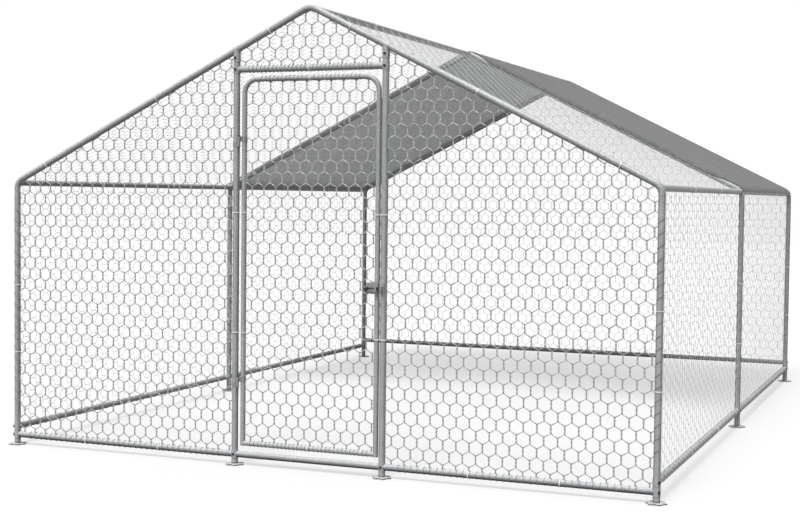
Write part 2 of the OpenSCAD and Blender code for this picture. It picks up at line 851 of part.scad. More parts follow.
// The lock faces away from the netting: outwards on the end frames, down on the middle one
module rafter_ties() {
    for (s = [LEFT, RIGHT]) for (f = [[front_y, -90], [mid_y, 180], [rear_y, 90]])
        for (l = [elbow_run + swage_l, rafter_l / 2, rafter_l - apex_leg - swage_l])
            translate([0, f[0], 0]) side(s) translate([half_w, 0, eave_z]) up_slope()
                translate([0, 0, l]) rotate(f[1]) tie(tube_d);
}

module rail_ties() {
    for (bay = [[front_y, mid_y], [mid_y, rear_y]]) for (y = shares(bay[0], bay[1], 2)) {
        translate([0, y, ridge_z]) along_y(REAR_WAY) rotate(90) tie(tube_d);
        for (s = [LEFT, RIGHT]) {
            translate([s * eave_rail_x, y, eave_rail_z]) along_y(REAR_WAY) rotate(90 + 90 * s) tie(tube_d);
            translate([s * half_w, y, side_rail_z]) along_y(REAR_WAY) rotate(90 - 90 * s) tie(tube_d);
        }
    }
    for (x = shares(-half_w, half_w, 4))
        translate([x, rear_y, rear_rail_z]) along_level(0) rotate(90) tie(tube_d);
    for (s = [LEFT, RIGHT]) for (x = shares(door_post_x, half_w, 2))
        translate([s * x, front_y, front_rail_z]) along_level(0) rotate(-90) tie(tube_d);
}

module frame_ties() {
    color(white) {
        post_ties();
        rafter_ties();
        rail_ties();
        translate([0, front_y, header_z]) along_level(0) rotate(-90) tie(header_d);
    }
}

module door_ties() {
    middle_x = (hinge_stile_x + latch_stile_x) / 2;
    color(white) {
        for (x = [hinge_stile_x, latch_stile_x])
            for (z = [(hinge_heights[0] + latch_z) / 2, (hinge_heights[1] + latch_z) / 2])
                translate([x, front_y, z]) rotate(TO_FRONT) tie(door_tube_d);
        for (z = [door_bottom_z, door_top_z])
            translate([middle_x, front_y, z]) along_level(0) rotate(-90) tie(door_tube_d);
    }
}

corner_post(front_y, LEFT);  // front_left_post
corner_post(front_y, RIGHT);  // front_right_post
elbow(front_y, LEFT, [REAR_WAY]);  // front_left_elbow
elbow(front_y, RIGHT, [REAR_WAY]);  // front_right_elbow
rafter(front_y, LEFT);  // front_left_rafter
rafter(front_y, RIGHT);  // front_right_rafter
apex(front_y, [REAR_WAY]);  // front_apex
corner_post(mid_y, LEFT);  // mid_left_post
corner_post(mid_y, RIGHT);  // mid_right_post
elbow(mid_y, LEFT, [FRONT_WAY, REAR_WAY]);  // mid_left_elbow
elbow(mid_y, RIGHT, [FRONT_WAY, REAR_WAY]);  // mid_right_elbow
rafter(mid_y, LEFT);  // mid_left_rafter
rafter(mid_y, RIGHT);  // mid_right_rafter
apex(mid_y, [FRONT_WAY, REAR_WAY]);  // mid_apex
corner_post(rear_y, LEFT);  // rear_left_post
corner_post(rear_y, RIGHT);  // rear_right_post
elbow(rear_y, LEFT, [FRONT_WAY]);  // rear_left_elbow
elbow(rear_y, RIGHT, [FRONT_WAY]);  // rear_right_elbow
rafter(rear_y, LEFT);  // rear_left_rafter
rafter(rear_y, RIGHT);  // rear_right_rafter
apex(rear_y, [FRONT_WAY]);  // rear_apex
eave_rails(LEFT);  // left_eave_rails
eave_rails(RIGHT);  // right_eave_rails
ridge_rails();
side_base_rails(LEFT);  // left_base_rails
side_base_rails(RIGHT);  // right_base_rails
front_base_rail(LEFT);  // front_left_base_rail
front_base_rail(RIGHT);  // front_right_base_rail
door_sill_rail();
rear_base_rail();
door_post(LEFT);  // hinge_post
door_post(RIGHT);  // latch_post
header_bar();
base_tees();
post_tees();
tee_bolts();
foot_plates();
door_stile(hinge_stile_x);  // door_hinge_stile
door_stile(latch_stile_x);  // door_latch_stile
door_top_bow();
door_bottom_rail();
door_net();
door_ties();
hinge_post_straps();
hinge_pins();
hinge_door_straps();
latch_plate();
latch_bolt();
latch_keeper();
front_net(LEFT);  // front_left_net
front_net(RIGHT);  // front_right_net
gable_net();
wall_net(LEFT);  // left_net
wall_net(RIGHT);  // right_net
rear_net();
roof_net();
roof_cover();
frame_ties();
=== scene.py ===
import math
import bpy
from mathutils import Matrix, Vector

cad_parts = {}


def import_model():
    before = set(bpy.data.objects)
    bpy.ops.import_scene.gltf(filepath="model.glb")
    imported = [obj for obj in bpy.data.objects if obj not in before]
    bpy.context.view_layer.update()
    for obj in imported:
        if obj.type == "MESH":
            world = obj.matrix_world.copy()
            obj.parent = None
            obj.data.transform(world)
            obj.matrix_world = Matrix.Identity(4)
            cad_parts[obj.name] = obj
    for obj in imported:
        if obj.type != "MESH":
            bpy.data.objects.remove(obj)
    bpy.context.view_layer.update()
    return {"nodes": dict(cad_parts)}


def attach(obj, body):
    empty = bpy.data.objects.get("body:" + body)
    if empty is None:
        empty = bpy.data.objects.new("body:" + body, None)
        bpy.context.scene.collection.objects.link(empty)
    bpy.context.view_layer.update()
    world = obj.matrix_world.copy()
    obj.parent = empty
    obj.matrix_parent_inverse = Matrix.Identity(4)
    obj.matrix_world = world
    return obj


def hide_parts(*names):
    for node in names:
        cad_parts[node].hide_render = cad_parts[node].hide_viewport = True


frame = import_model()

# Sizes of the run, in metres, as in the part's source
RUN_W = 3.0
RUN_D = 4.0
RUN_H = 1.96
TUBE_R = 0.014
DOOR_TUBE_R = 0.011
HALF_W = RUN_W / 2 - TUBE_R
FRONT_Y = -RUN_D / 2 + TUBE_R
MID_Y = 0.0
REAR_Y = RUN_D / 2 - TUBE_R
PITCH = math.radians(26.5)
RIDGE_BEND_R = 0.06
RIDGE_Z = RUN_H - TUBE_R
APEX_Z = RIDGE_Z + RIDGE_BEND_R * (1 / math.cos(PITCH) - 1)
EAVE_Z = APEX_Z - HALF_W * math.tan(PITCH)
SLOPE_L = HALF_W / math.cos(PITCH)
EAVE_BEND_R = 0.05
EAVE_TURN = math.pi / 2 - PITCH
EAVE_OFF = EAVE_BEND_R * (1 / math.cos(EAVE_TURN / 2) - 1)
EAVE_TAN = EAVE_BEND_R * math.tan(EAVE_TURN / 2)
EAVE_RAIL_Z = EAVE_Z - EAVE_OFF * math.cos(EAVE_TURN / 2 + PITCH)
FRONT_RAIL_Z = 0.046
RAIL_STEP = 0.038
SIDE_RAIL_Z = FRONT_RAIL_Z + RAIL_STEP
REAR_RAIL_Z = SIDE_RAIL_Z + RAIL_STEP
DOORWAY_W = 0.69
DOOR_POST_X = DOORWAY_W / 2
POST_TOP_Z = APEX_Z - DOOR_POST_X * math.tan(PITCH)
HEADER_DROP = 0.084
HEADER_Z = POST_TOP_Z - HEADER_DROP
DOOR_HEAD_GAP = 0.042
DOOR_TOP_Z = HEADER_Z - DOOR_HEAD_GAP
DOOR_SILL_GAP = 0.05
DOOR_BOTTOM_Z = FRONT_RAIL_Z + DOOR_SILL_GAP
DOOR_BEND_R = 0.06
HINGE_GAP = 0.0135
HINGE_STILE_X = -DOOR_POST_X + TUBE_R + HINGE_GAP + DOOR_TUBE_R
LATCH_GAP = 0.004
LATCH_STILE_X = DOOR_POST_X - TUBE_R - LATCH_GAP - DOOR_TUBE_R

LEFT = -1
RIGHT = 1
SIDES = ((LEFT, "left"), (RIGHT, "right"))
BAYS = (("front", FRONT_Y, MID_Y), ("rear", MID_Y, REAR_Y))

# Wire netting: the front has the heaviest wire and the roof the finest
CELL_W = 0.0565
SIDE_L = CELL_W / math.sqrt(3)
ROW_H = 3 * SIDE_L
FRONT_WIRE_R = 0.0023
WALL_WIRE_R = 0.001
ROOF_WIRE_R = 0.0008
WIRE_SIDES = 3
FRONT_WIRE_SIDES = 6
TWIST_STEPS = 5
TWIST_TIGHTNESS = 0.75
SPARE_CELLS = 2

# From the axis of a tube to the edge of its netting, which is tucked a little way into the tube
TUCK = 0.001
NET_ROOM = TUBE_R - TUCK
DOOR_NET_ROOM = DOOR_TUBE_R - TUCK

# Wire ends wound round the tubes: each row stops short of the fittings at its ends
TURN_WIRE_R = 0.0014
TURN_SEGMENTS = 12
TURN_ROOM = 0.05
DOOR_BOTTOM_ROOM = 0.02
DOOR_TOP_ROOM = 0.07
POST_LEAN = math.radians(35)

# Cover: how far it stands off the axes of the tubes, how thick it is and how deep it sags
COVER_OFF = 0.0163
COVER_T = 0.0012
COVER_MID = COVER_OFF + COVER_T / 2
COVER_SAG = 0.010
BAY_L = REAR_Y - MID_Y

# How far round each tube it folds: the front fold eases off near the rails that meet it
EAVE_WRAP = math.radians(39)
FRONT_WRAP = math.radians(80)
REAR_WRAP = math.radians(50)
RAIL_WRAP = math.radians(25)
FOLD_EASE = 0.18
HEM_W = 0.03
HEM_LIFT = 0.0002

# Creases in the cover: how many there are along and across half of it, and their share of its sag
CREASES_ALONG = 5
CREASES_ACROSS = 4
CREASE_SHARE = 0.12

# How finely the cover and its hem are divided
COVER_COLUMNS = 160
FIELD_ROWS = 56
FRONT_FOLD_ROWS = 8
REAR_FOLD_ROWS = 6
HEM_COLUMNS = 8
HEM_ROWS = 6


# Tools for modelling

MERGE_GAP = 0.00001
SMOOTH_ANGLE = math.radians(40)


def deselect():
    bpy.ops.object.select_all(action="DESELECT")


def pick(obj):
    deselect()
    obj.select_set(True)
    bpy.context.view_layer.objects.active = obj


def newest(name):
    obj = bpy.context.object
    obj.name = name
    obj.data.name = name
    return obj


def settle(obj):
    """Puts the place of an object into its mesh."""
    pick(obj)
    bpy.ops.object.transform_apply(location=True, rotation=True, scale=True)
    return obj


def join(objects, name):
    deselect()
    for obj in objects:
        obj.select_set(True)
    bpy.context.view_layer.objects.active = objects[0]
    bpy.ops.object.join()
    return newest(name)


def copy_of(obj, name):
    twin = obj.copy()
    twin.data = obj.data.copy()
    twin.name = name
    twin.data.name = name
    bpy.context.scene.collection.objects.link(twin)
    return twin


def apply_modifier(obj, kind, **values):
    pick(obj)
    modifier = obj.modifiers.new(kind.lower(), kind)
    for key, value in values.items():
        setattr(modifier, key, value)
    bpy.ops.object.modifier_apply(modifier=modifier.name)


def repeat(obj, count, step):
    apply_modifier(obj, "ARRAY", count=count, use_relative_offset=False, use_constant_offset=True,
                   constant_offset_displace=step)


def face_outward(obj):
    pick(obj)
    bpy.ops.object.mode_set(mode="EDIT")
    bpy.ops.mesh.select_all(action="SELECT")
    bpy.ops.mesh.normals_make_consistent(inside=False)
    bpy.ops.object.mode_set(mode="OBJECT")


def merge_doubles(obj):
    pick(obj)
    bpy.ops.object.mode_set(mode="EDIT")
    bpy.ops.mesh.select_all(action="SELECT")
    bpy.ops.mesh.remove_doubles(threshold=MERGE_GAP)
    bpy.ops.object.mode_set(mode="OBJECT")


def smooth(obj):
    pick(obj)
    bpy.ops.object.shade_smooth_by_angle(angle=SMOOTH_ANGLE)


def cut_away(obj, point, inward):
    """Cuts a piece along a plane and keeps the side that inward points to."""
    pick(obj)
    bpy.ops.object.mode_set(mode="EDIT")
    bpy.ops.mesh.select_all(action="SELECT")
    bpy.ops.mesh.bisect(plane_co=point, plane_no=inward, clear_inner=True)
    bpy.ops.object.mode_set(mode="OBJECT")


def place(obj, matrix):
    obj.data.transform(matrix)
    if matrix.determinant() < 0:
        obj.data.flip_normals()
    obj.data.update()


def finish_piece(obj, body, materials, nodes=()):
    for material in materials:
        obj.data.materials.append(material)
    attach(obj, body)
    if nodes:
        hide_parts(*nodes)


# Materials: how fine each pattern is, in marks to the metre

CRYSTALS = 210.0
CLOUDS = 9.0
DRAWING_MARKS = 420.0
WIRE_SPOTS = 55.0
FADING = 3.0
SPECKS = 40.0
TIE_GRAIN = 190.0
FLOOR_PATCHES = 0.6

# A wave texture turns by this many radians to the metre at a scale of 1
WAVE_RATE = 20.0
THREAD_PITCH = 0.004
THREAD_WANDER = 0.4

# The threads are laid out on a slanted plane, so that they show on level and upright cloth alike
WEAVE_TURN = (math.radians(45), 0, 0)

WHITE = (1.0, 1.0, 1.0)
CLOUD_TONE = (0.84, 0.85, 0.86)
# Painted shade for faces that turn to the left or right
PAINTED_SIDE_SHADE = (0.58, 0.58, 0.59)
FADED_TONE = (0.88, 0.88, 0.88)
SPECK_TONE = (0.7, 0.7, 0.7)

ZINC_GLEAM = 0.07
ZINC_DULLING = 0.1
ZINC_METALLIC = 0.04
ZINC_GLOSS = 0.12
WIRE_METALLIC = 0.3


def node(tree, kind, **inputs):
    made = tree.nodes.new(kind)
    for name, value in inputs.items():
        made.inputs[name.replace("_", " ")].default_value = value
    return made


def new_material(name):
    material = bpy.data.materials.new(name)
    material.use_nodes = True
    tree = material.node_tree
    return material, tree, tree.nodes["Principled BSDF"]


def object_place(tree, turn=(0, 0, 0)):
    coordinates = tree.nodes.new("ShaderNodeTexCoord")
    mapping = node(tree, "ShaderNodeMapping", Rotation=turn)
    tree.links.new(coordinates.outputs["Object"], mapping.inputs["Vector"])
    return mapping.outputs["Vector"]


def noise(tree, where, scale, detail):
    made = node(tree, "ShaderNodeTexNoise", Scale=scale, Detail=detail)
    tree.links.new(where, made.inputs["Vector"])
    return made.outputs["Fac"]


def ramp(tree, value, stops):
    """Turns a value into tones: the stops are places and tones, in rising order."""
    made = tree.nodes.new("ShaderNodeValToRGB")
    elements = made.color_ramp.elements
    for at, colour in stops[1:-1]:
        elements.new(at)
    for element, (at, colour) in zip(elements, stops):
        element.position = at
        element.color = (*colour, 1)
    tree.links.new(value, made.inputs["Fac"])
    return made.outputs["Color"]


def spread(tree, value, low, high):
    made = node(tree, "ShaderNodeMapRange", To_Min=low, To_Max=high)
    tree.links.new(value, made.inputs["Value"])
    return made.outputs["Result"]


def bump(tree, shader, height, strength, depth):
    made = node(tree, "ShaderNodeBump", Strength=strength, Distance=depth)
    tree.links.new(height, made.inputs["Height"])
    tree.links.new(made.outputs["Normal"], shader.inputs["Normal"])


def grey(tone):
    return tone, tone, tone


def multiplied(tree, tones):
    """One tone from several: each one darkens those before it."""
    total = tones[0]
    for tone in tones[1:]:
        made = tree.nodes.new("ShaderNodeMix")
        made.data_type = "RGBA"
        made.blend_type = "MULTIPLY"
        made.inputs["Factor"].default_value = 1.0
        sockets = [s for s in made.inputs if s.type == "RGBA"]
        tree.links.new(total, sockets[0])
        tree.links.new(tone, sockets[1])
        total = next(s for s in made.outputs if s.type == "RGBA")
    return total


def facing(tree, axis):
    """The part of a surface's direction that lies along one axis, from -1 to 1."""
    parts = tree.nodes.new("ShaderNodeSeparateXYZ")
    tree.links.new(tree.nodes.new("ShaderNodeTexCoord").outputs["Normal"], parts.inputs["Vector"])
    return parts.outputs[axis]


def upward(tree):
    """How far a surface faces up: 0 on undersides, 1 on tops."""
    made = node(tree, "ShaderNodeMapRange", From_Min=-1.0)
    tree.links.new(facing(tree, "Z"), made.inputs["Value"])
    return made.outputs["Result"]


def sideways(tree):
    """How far a surface faces left or right: 0 on fronts and tops, 1 on sides."""
    made = tree.nodes.new("ShaderNodeMath")
    made.operation = "ABSOLUTE"
    tree.links.new(facing(tree, "X"), made.inputs[0])
    return made.outputs["Value"]


def galvanised(name, dark, light, rough, upright=0.69, under=0.38):
    """Zinc-coated steel: crystal patches, clouds and drawing marks, with painted light on tops and painted
    shade on sides and undersides.
    """
    material, tree, shader = new_material(name)
    where = object_place(tree)
    crystals = node(tree, "ShaderNodeTexVoronoi", Scale=CRYSTALS)
    tree.links.new(where, crystals.inputs["Vector"])
    clouds = noise(tree, where, CLOUDS, detail=5.0)
    tones = [
        ramp(tree, crystals.outputs["Color"], [(0.1, dark), (0.9, light)]),
        ramp(tree, clouds, [(0.3, CLOUD_TONE), (0.7, WHITE)]),
        # Painted light and shade: tops are lightened, and upright faces and undersides are darkened by the
        # way they face
        ramp(tree, upward(tree), [(0.1, grey(under)), (0.45, grey(upright)), (0.85, WHITE)]),
        # Painted shade: faces turned to the left or right are darkened
        ramp(tree, sideways(tree), [(0.3, WHITE), (1.0, PAINTED_SIDE_SHADE)]),
    ]
    tree.links.new(multiplied(tree, tones), shader.inputs["Base Color"])
    polish = spread(tree, clouds, low=rough - ZINC_GLEAM, high=rough + ZINC_DULLING)
    tree.links.new(polish, shader.inputs["Roughness"])
    shader.inputs["Metallic"].default_value = ZINC_METALLIC
    shader.inputs["Specular IOR Level"].default_value = ZINC_GLOSS
    marks = noise(tree, where, DRAWING_MARKS, detail=2.0)
    bump(tree, shader, marks, strength=0.12, depth=0.0004)
    return material


def netting_wire(name, dull, bright):
    """Zinc-coated wire with dull spots."""
    material, tree, shader = new_material(name)
    spots = noise(tree, object_place(tree), WIRE_SPOTS, detail=4.0)
    tree.links.new(ramp(tree, spots, [(0.3, dull), (0.7, bright)]), shader.inputs["Base Color"])
    tree.links.new(spread(tree, spots, low=0.3, high=0.55), shader.inputs["Roughness"])
    shader.inputs["Metallic"].default_value = WIRE_METALLIC
    return material


def weave(tree, where, pitch):
    """Height of a plain weave: two crossed sets of threads."""
    bands = []
    for direction in ("X", "Y"):
        wave = node(tree, "ShaderNodeTexWave", Scale=2 * math.pi / (WAVE_RATE * pitch),
                    Distortion=THREAD_WANDER)
        wave.bands_direction = direction
        tree.links.new(where, wave.inputs["Vector"])
        bands.append(wave.outputs["Fac"])
    both = tree.nodes.new("ShaderNodeMath")
    both.operation = "MULTIPLY"
    tree.links.new(bands[0], both.inputs[0])
    tree.links.new(bands[1], both.inputs[1])
    return both.outputs["Value"]


def cover_cloth(name, dark, light, gloss):
    """Coated grey weave with broad cloudy fading and small specks."""
    material, tree, shader = new_material(name)
    where = object_place(tree, WEAVE_TURN)
    threads = weave(tree, where, THREAD_PITCH)
    fading = noise(tree, where, FADING, detail=6.0)
    specks = noise(tree, where, SPECKS, detail=4.0)
    tones = [
        ramp(tree, threads, [(0.0, dark), (0.8, light)]),
        ramp(tree, fading, [(0.3, FADED_TONE), (0.7, WHITE)]),
        ramp(tree, specks, [(0.36, SPECK_TONE), (0.64, WHITE)]),
    ]
    tree.links.new(multiplied(tree, tones), shader.inputs["Base Color"])
    tree.links.new(spread(tree, fading, low=0.6, high=0.78), shader.inputs["Roughness"])
    shader.inputs["Specular IOR Level"].default_value = gloss
    bump(tree, shader, threads, strength=0.35, depth=0.0006)
    return material


def tie_plastic(name, shaded, milky):
    """Natural nylon: milky, with fine moulded grain."""
    material, tree, shader = new_material(name)
    grain = noise(tree, object_place(tree), TIE_GRAIN, detail=3.0)
    tree.links.new(ramp(tree, grain, [(0.3, shaded), (0.7, milky)]), shader.inputs["Base Color"])
    tree.links.new(spread(tree, grain, low=0.38, high=0.5), shader.inputs["Roughness"])
    bump(tree, shader, grain, strength=0.15, depth=0.0002)
    return material


TUBE_STEEL = galvanised("galvanised_tube", dark=(0.51, 0.518, 0.527), light=(0.71, 0.72, 0.73), rough=0.36)
SLEEVE_STEEL = galvanised("sleeve_steel", dark=(0.55, 0.56, 0.57), light=(0.75, 0.76, 0.77), rough=0.32)
FITTING_STEEL = galvanised("fitting_steel", dark=(0.4, 0.407, 0.415), light=(0.56, 0.567, 0.575), rough=0.4)
DARK_STEEL = galvanised("dark_steel", dark=(0.05, 0.052, 0.055), light=(0.11, 0.113, 0.116), rough=0.42)
# Painted shade: the foot plates' upright faces and undersides are darkened further, in place of the shadow
# round them
FOOT_STEEL = galvanised("foot_steel", dark=(0.6, 0.605, 0.61), light=(0.78, 0.785, 0.79), rough=0.45,
                        upright=0.3, under=0.15)
# The front base rails and sill: dull, with deep painted shade on their undersides
SHADE_PAINTED_RAIL_STEEL = galvanised("shade_painted_rail", dark=(0.51, 0.518, 0.527), light=(0.71, 0.72, 0.73), rough=0.8,
                          upright=0.5, under=0.04)
FRONT_WIRE = netting_wire("front_netting_wire", dull=(0.35, 0.365, 0.358), bright=(0.49, 0.505, 0.498))
TURN_WIRE = netting_wire("turned_wire", dull=(0.18, 0.19, 0.185), bright=(0.3, 0.31, 0.305))
WALL_WIRE = netting_wire("wall_netting_wire", dull=(0.58, 0.6, 0.59), bright=(0.74, 0.76, 0.75))
CLOTH = cover_cloth("cover_cloth", dark=(0.176, 0.179, 0.179), light=(0.316, 0.321, 0.321), gloss=0.1)
# Painted light: the cover's pale underside stands in for daylight shining through the cloth
UNDERSIDE_PAINTED_LIGHT = cover_cloth("cover_underside_painted_light", dark=(0.82, 0.83, 0.825), light=(0.95, 0.96, 0.955), gloss=0.5)
TIE_PLASTIC = tie_plastic("tie_plastic", shaded=(0.72, 0.73, 0.7), milky=(0.86, 0.86, 0.84))

# What isn't plain galvanised tube
OWN_FINISH = {
    "base_tees": SLEEVE_STEEL,
    "post_tees": SLEEVE_STEEL,
    "hinge_post_straps": FITTING_STEEL,
    "hinge_door_straps": FITTING_STEEL,
    "latch_plate": FITTING_STEEL,
    "latch_keeper": FITTING_STEEL,
    "tee_bolts": DARK_STEEL,
    "hinge_pins": DARK_STEEL,
    "latch_bolt": DARK_STEEL,
    "foot_plates": FOOT_STEEL,
    "front_left_base_rail": SHADE_PAINTED_RAIL_STEEL,
    "front_right_base_rail": SHADE_PAINTED_RAIL_STEEL,
    "door_sill_rail": SHADE_PAINTED_RAIL_STEEL,
    "frame_ties": TIE_PLASTIC,
    "door_ties": TIE_PLASTIC,
}


def dress_solids():
    """Gives each solid of the frame, door and fittings its metal or plastic."""
    for name, obj in frame["nodes"].items():
        obj.data.materials.clear()
        obj.data.materials.append(OWN_FINISH.get(name, TUBE_STEEL))


# Wire netting: one cell's wires are modelled once, repeated over a panel, and trimmed to the tubes

def twisted_pair(wire_r, sides):
    """The two wires that twist round each other along the upright side of a cell."""
    strands = []
    for side in (LEFT, RIGHT):
        deselect()
        bpy.ops.mesh.primitive_circle_add(vertices=sides, radius=wire_r,
                                          location=(side * TWIST_TIGHTNESS * wire_r, 0, -SIDE_L / 2))
        strands.append(settle(newest("strand")))
    pair = join(strands, "twisted_pair")
    apply_modifier(pair, "SCREW", axis="Z", angle=2 * math.pi, screw_offset=SIDE_L,
                   steps=TWIST_STEPS, render_steps=TWIST_STEPS)
    return pair


def slanted_wire(wire_r, sides, way):
    """A single wire from inside the top of the twist, up into the next twist on one side."""
    middle_z = SIDE_L / 2 + SIDE_L / 4
    deselect()
    bpy.ops.mesh.primitive_cylinder_add(
        vertices=sides, radius=wire_r, depth=SIDE_L + 2 * wire_r, end_fill_type="NGON",
        location=(way * CELL_W / 4, 0, middle_z), rotation=(0, way * math.pi / 3, 0))
    return settle(newest("slanted_wire"))


def wire_cell(wire_r, sides=WIRE_SIDES, turn=0.0):
    """The wires of two cells: a row of the netting and the staggered row above it, turned in their plane."""
    wires = [twisted_pair(wire_r, sides)]
    for way in (LEFT, RIGHT):
        wires.append(slanted_wire(wire_r, sides, way))
    row = join(wires, "wire_row")
    next_row = copy_of(row, "wire_row_above")
    place(next_row, Matrix.Translation((CELL_W / 2, 0, ROW_H / 2)))
    cell = join([row, next_row], "wire_cell")
    place(cell, Matrix.Rotation(turn, 4, "Y"))
    face_outward(cell)
    bpy.ops.object.shade_smooth()
    return cell


# The twists stand upright in the end walls, and lie along the run in the side walls and the roof
UPRIGHT_STEP = (CELL_W, ROW_H)
LYING_STEP = (ROW_H, CELL_W)
FRONT_CELL = wire_cell(FRONT_WIRE_R, sides=FRONT_WIRE_SIDES)
REAR_CELL = wire_cell(WALL_WIRE_R)
WALL_CELL = wire_cell(WALL_WIRE_R, turn=math.pi / 2)
ROOF_CELL = wire_cell(ROOF_WIRE_R, turn=math.pi / 2)


def flat_netting(name, cell, step, low, high, cuts):
    """A flat panel of netting in the XZ plane, from low to high, trimmed along the cuts."""
    sheet = copy_of(cell, name)
    columns = math.ceil((high[0] - low[0]) / step[0]) + SPARE_CELLS
    rows = math.ceil((high[1] - low[1]) / step[1]) + SPARE_CELLS
    repeat(sheet, columns, (step[0], 0, 0))
    repeat(sheet, rows, (0, 0, step[1]))
    place(sheet, Matrix.Translation((low[0] - step[0], 0, low[1] - step[1] / 2)))
    sides = [(low, (1, 0)), (low, (0, 1)), (high, (-1, 0)), (high, (0, -1))]
    for point, inward in sides + cuts:
        cut_away(sheet, (point[0], 0, point[1]), (inward[0], 0, inward[1]))
    return sheet


def at_depth(y):
    return Matrix.Translation((0, y, 0))


def in_side_wall(side):
    return Matrix.Translation((side * HALF_W, 0, 0)) @ Matrix.Rotation(math.pi / 2, 4, "Z")


def on_slope(side):
    """From a flat panel, X along the run and Z up the slope, to a place on the roof."""
    lean = Matrix.Rotation(-(math.pi / 2 - PITCH), 4, "Y")
    slope = Matrix.Translation((HALF_W, 0, EAVE_Z)) @ lean @ Matrix.Rotation(math.pi / 2, 4, "Z")
    return slope if side == RIGHT else Matrix.Scale(-1, 4, (1, 0, 0)) @ slope


def gable_cut(side):
    """The slanted edge under a rafter, as a point and the direction into the panel."""
    inward = (-side * math.sin(PITCH), -math.cos(PITCH))
    return (side * HALF_W + inward[0] * NET_ROOM, EAVE_Z + inward[1] * NET_ROOM), inward


def hang_front(name, body, low, high, cuts):
    sheet = flat_netting(name + "_wires", FRONT_CELL, UPRIGHT_STEP, low, high, cuts)
    place(sheet, at_depth(FRONT_Y))
    finish_piece(sheet, body, [FRONT_WIRE], [name])


def hang_lying(name, cad_node, cell, low, high, matrix):
    sheet = flat_netting(name + "_wires", cell, LYING_STEP, low, high, [])
    place(sheet, matrix)
    finish_piece(sheet, "frame", [WALL_WIRE], [cad_node])


def front_netting():
    """The panels on both sides of the doorway, and the one over its header."""
    for side, word in SIDES:
        ends = sorted((side * (HALF_W - NET_ROOM), side * (DOOR_POST_X + NET_ROOM)))
        hang_front(f"front_{word}_net", "frame", (ends[0], FRONT_RAIL_Z + NET_ROOM), (ends[1], POST_TOP_Z),
                   [gable_cut(side)])
    low = (-DOOR_POST_X + NET_ROOM, HEADER_Z + NET_ROOM)
    hang_front("gable_net", "frame", low, (-low[0], RIDGE_Z - NET_ROOM), [gable_cut(LEFT), gable_cut(RIGHT)])


def rear_netting():
    low = (-HALF_W + NET_ROOM, REAR_RAIL_Z + NET_ROOM)
    sheet = flat_netting("rear_net_wires", REAR_CELL, UPRIGHT_STEP, low, (-low[0], RIDGE_Z - NET_ROOM),
                         [gable_cut(LEFT), gable_cut(RIGHT)])
    place(sheet, at_depth(REAR_Y))
    finish_piece(sheet, "frame", [WALL_WIRE], ["rear_net"])


def side_netting():
    for side, word in SIDES:
        for bay, start, end in BAYS:
            low = (start + NET_ROOM, SIDE_RAIL_Z + NET_ROOM)
            high = (end - NET_ROOM, EAVE_RAIL_Z - TUBE_R / 2)
            hang_lying(f"{word}_net_{bay}", f"{word}_net", WALL_CELL, low, high, in_side_wall(side))


def roof_netting():
    for side, word in SIDES:
        for bay, start, end in BAYS:
            low = (start + NET_ROOM, NET_ROOM)
            high = (end - NET_ROOM, SLOPE_L - NET_ROOM)
            hang_lying(f"roof_net_{word}_{bay}", "roof_net", ROOF_CELL, low, high, on_slope(side))


def door_netting():
    """The panel in the door, with its top corners cut off where the top bow bends."""
    low = (HINGE_STILE_X + DOOR_NET_ROOM, DOOR_BOTTOM_Z + DOOR_NET_ROOM)
    high = (LATCH_STILE_X - DOOR_NET_ROOM, DOOR_TOP_Z - DOOR_NET_ROOM)
    diagonal = math.sqrt(0.5)
    corner = DOOR_BEND_R * (1 - diagonal)
    cuts = [((HINGE_STILE_X + corner, DOOR_TOP_Z - corner), (diagonal, -diagonal)),
            ((LATCH_STILE_X - corner, DOOR_TOP_Z - corner), (-diagonal, -diagonal))]
    hang_front("door_net", "door", low, high, cuts)


# Wire ends wound once round the tubes

def wound_ends(tube_r, count, step, lean, matrix):
    """A row of single turns of wire along Z, each leaning on its tube, placed by matrix."""
    deselect()
    bpy.ops.mesh.primitive_torus_add(major_radius=tube_r + TURN_WIRE_R, minor_radius=TURN_WIRE_R,
                                     major_segments=TURN_SEGMENTS, minor_segments=WIRE_SIDES)
    turns = newest("turns")
    turns.scale = (1 / math.cos(lean), 1, 1)
    turns.rotation_euler = (0, lean, 0)
    settle(turns)
    repeat(turns, count, (0, 0, step))
    place(turns, matrix)
    return turns


def along(start, end):
    """Puts the Z axis on a line."""
    direction = Vector(end) - Vector(start)
    return Matrix.Translation(start) @ direction.to_track_quat("Z", "Y").to_matrix().to_4x4()


def turns_on(tube_r, start, end, step=CELL_W, room=TURN_ROOM, lean=0.0):
    """Turns along a tube from start to end, kept clear of the fittings at both ends."""
    length = (Vector(end) - Vector(start)).length - 2 * room
    count = int(length / step)
    shift = room + (length - (count - 1) * step) / 2
    return wound_ends(tube_r, count, step, lean, along(start, end) @ Matrix.Translation((0, 0, shift)))


def bind(rows, name, body):
    finish_piece(join(rows, name), body, [TURN_WIRE])


def bind_rails():
    """The turns on the base rails, and the close ones on the header."""
    rows = []
    for bay, start, end in BAYS:
        for x in (-HALF_W, HALF_W):
            rows.append(turns_on(TUBE_R, (x, start, SIDE_RAIL_Z), (x, end, SIDE_RAIL_Z)))
    for side in (LEFT, RIGHT):
        ends = [(side * x, FRONT_Y, FRONT_RAIL_Z) for x in (DOOR_POST_X, HALF_W)]
        rows.append(turns_on(TUBE_R, *ends, step=CELL_W / 2))
    ends = [(side * DOOR_POST_X, FRONT_Y, HEADER_Z) for side in (LEFT, RIGHT)]
    rows.append(turns_on(TUBE_R, *ends, step=CELL_W / 3))
    ends = [(side * HALF_W, REAR_Y, REAR_RAIL_Z) for side in (LEFT, RIGHT)]
    rows.append(turns_on(TUBE_R, *ends))
    bind(rows, "rail_wire_turns", "frame")


